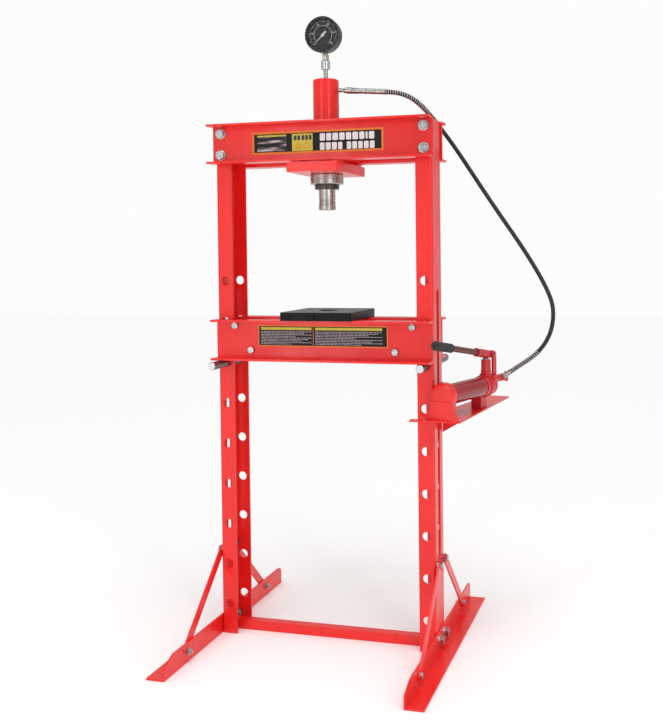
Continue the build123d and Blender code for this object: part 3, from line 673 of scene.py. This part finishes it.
def arc_band(inner, outer, start, end, steps):
    quads = []
    for k in range(steps):
        a = math.radians(start + (end - start) * k / steps)
        b = math.radians(start + (end - start) * (k + 1) / steps)
        quads.append(
            [
                (-inner * math.sin(a), GAUGE_Z - inner * math.cos(a)),
                (-outer * math.sin(a), GAUGE_Z - outer * math.cos(a)),
                (-outer * math.sin(b), GAUGE_Z - outer * math.cos(b)),
                (-inner * math.sin(b), GAUGE_Z - inner * math.cos(b)),
            ]
        )
    return quads


def dial_number(text, angle, radius, size, material):
    curve = bpy.data.curves.new("dial_number", "FONT")
    curve.body = text
    curve.size = size
    curve.align_x = "CENTER"
    curve.align_y = "CENTER"
    curve.extrude = 0.00008
    holder = bpy.data.objects.new("dial_number_holder", curve)
    bpy.context.collection.objects.link(holder)
    mesh = bpy.data.meshes.new_from_object(holder)
    bpy.data.objects.remove(holder)
    place = (-radius * math.sin(angle), DIAL_FACE - INK_THICK, GAUGE_Z - radius * math.cos(angle))
    mesh.transform(Matrix.Translation(place) @ Matrix.Rotation(math.radians(90), 4, "X"))
    mesh.materials.clear()
    mesh.materials.append(material)
    piece = bpy.data.objects.new("dial_number_" + text, mesh)
    bpy.context.collection.objects.link(piece)
    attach(piece, "frame")


def make_dial():
    white = print_ink("dial_white", (0.85, 0.85, 0.87), (0.74, 0.74, 0.76), 0.5)
    marks = arc_band(0.0267, 0.0273, 45, 315, 70)
    for step in range(51):
        angle = math.radians(45 + 270 * step / 50)
        inner, width = 0.0388, 0.0005
        if step % 5 == 0:
            inner, width = 0.0372, 0.0010
        if step % 10 == 0:
            inner = 0.0358
        marks.append(dial_mark(angle, inner, 0.0412, width))
    for step in range(31):
        angle = math.radians(45 + 270 * step / 30)
        outer = 0.0285 if step % 5 else 0.0296
        marks.append(dial_mark(angle, 0.0273, outer, 0.0005))
    build = bmesh.new()
    for outline in marks:
        add_prism(build, outline, DIAL_FACE, DIAL_FACE - INK_THICK)
    mesh_object("dial_scale", finish_prisms(build), white, "frame")
    for step in range(6):
        dial_number(str(step * 100), math.radians(45 + 54 * step), 0.0325, 0.0058, white)


# Hose


def route_curve(name):
    data = bpy.data.curves.new(name, "CURVE")
    data.dimensions = "3D"
    data.resolution_u = 16
    spline = data.splines.new("NURBS")
    spline.points.add(len(HOSE_ROUTE) - 1)
    for point, place in zip(spline.points, HOSE_ROUTE):
        point.co = (*place, 1)
    spline.order_u = 3
    spline.use_endpoint_u = True
    return data


def route_points():
    """The hose's centre line, read from its own spline."""
    holder = bpy.data.objects.new("route_holder", route_curve("route_holder"))
    bpy.context.collection.objects.link(holder)
    mesh = bpy.data.meshes.new_from_object(holder)
    points = [vertex.co.copy() for vertex in mesh.vertices]
    bpy.data.objects.remove(holder)
    bpy.data.meshes.remove(mesh)
    return points


def even_points(points, start, end, step):
    """Points a step apart on the line, from start to end along it."""
    lengths = [0.0]
    for a, b in zip(points, points[1:]):
        lengths.append(lengths[-1] + (b - a).length)
    count = int((end - start) / step)
    places = []
    segment = 0
    for k in range(count + 1):
        want = start + (end - start) * k / count
        while segment < len(points) - 2 and lengths[segment + 1] < want:
            segment += 1
        span = lengths[segment + 1] - lengths[segment]
        share = (want - lengths[segment]) / span
        places.append(points[segment].lerp(points[segment + 1], min(max(share, 0), 1)))
    return places


def add_tube(build, line, radius, sides):
    """Adds a round tube along a line of points, with closed ends."""
    rings = []
    normal = None
    for k, place in enumerate(line):
        tangent = (line[min(k + 1, len(line) - 1)] - line[max(k - 1, 0)]).normalized()
        if normal is None:
            normal = tangent.orthogonal().normalized()
        normal = (normal - tangent * normal.dot(tangent)).normalized()
        side = tangent.cross(normal)
        around = [math.tau * s / sides for s in range(sides)]
        rings.append(
            [build.verts.new(place + radius * (math.cos(a) * normal + math.sin(a) * side)) for a in around]
        )
    for first, second in zip(rings, rings[1:]):
        for s in range(sides):
            t = (s + 1) % sides
            build.faces.new((first[s], first[t], second[t], second[s]))
    build.faces.new(rings[0][::-1])
    build.faces.new(rings[-1])


def coil_guard(name, line, material, replaced):
    """A wire coil wound round a line of points."""
    total = sum((b - a).length for a, b in zip(line, line[1:]))
    turns = total / COIL_PITCH
    steps = int(turns * 14)
    centres = even_points(line, 0, total, total / steps)
    normal = None
    helix = []
    for k, place in enumerate(centres):
        tangent = (centres[min(k + 1, len(centres) - 1)] - centres[max(k - 1, 0)]).normalized()
        if normal is None:
            normal = tangent.orthogonal().normalized()
        normal = (normal - tangent * normal.dot(tangent)).normalized()
        angle = math.tau * turns * k / (len(centres) - 1)
        outward = math.cos(angle) * normal + math.sin(angle) * tangent.cross(normal)
        helix.append(place + COIL_RADIUS * outward)
    build = bmesh.new()
    add_tube(build, helix, COIL_WIRE, 7)
    for face in build.faces:
        face.smooth = True
    piece = mesh_object(name, build, material, "frame")
    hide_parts(replaced)
    return piece


def make_hose():
    data = route_curve("hose_line")
    data.bevel_depth = HOSE_RADIUS
    data.bevel_resolution = 6
    data.use_fill_caps = True
    data.materials.append(rubber("hose_rubber", (0.03, 0.03, 0.033), (0.016, 0.016, 0.018), 0.42, 260))
    hose = bpy.data.objects.new("hose_line", data)
    bpy.context.collection.objects.link(hose)
    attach(hose, "frame")
    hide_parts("hose")
    points = route_points()
    total = sum((b - a).length for a, b in zip(points, points[1:]))
    wire = Surface("guard_wire", (0.7, 0.7, 0.7), 0.3, 1.0)
    wire.colour(wire.ramp(wire.noise(120, 3), (0.3, (0.55, 0.55, 0.55)), (0.75, (0.86, 0.86, 0.86))))
    wire.bump(wire.noise(500, 2), 0.1, 0.0002)
    upper_line = even_points(points, GUARD_GAP, GUARD_UPPER_END, LINE_STEP)
    lower_line = even_points(points, total - GUARD_LOWER_START, total - GUARD_GAP, LINE_STEP)
    upper = coil_guard("guard_coil_upper", upper_line, wire.material, "hose_guard_upper")
    lower = coil_guard("guard_coil_lower", lower_line, wire.material, "hose_guard_lower")


def main():
    make_camera()
    make_hose()
    make_studio()
    make_floor()
    dress_nodes()
    make_labels()
    make_dial()


main()
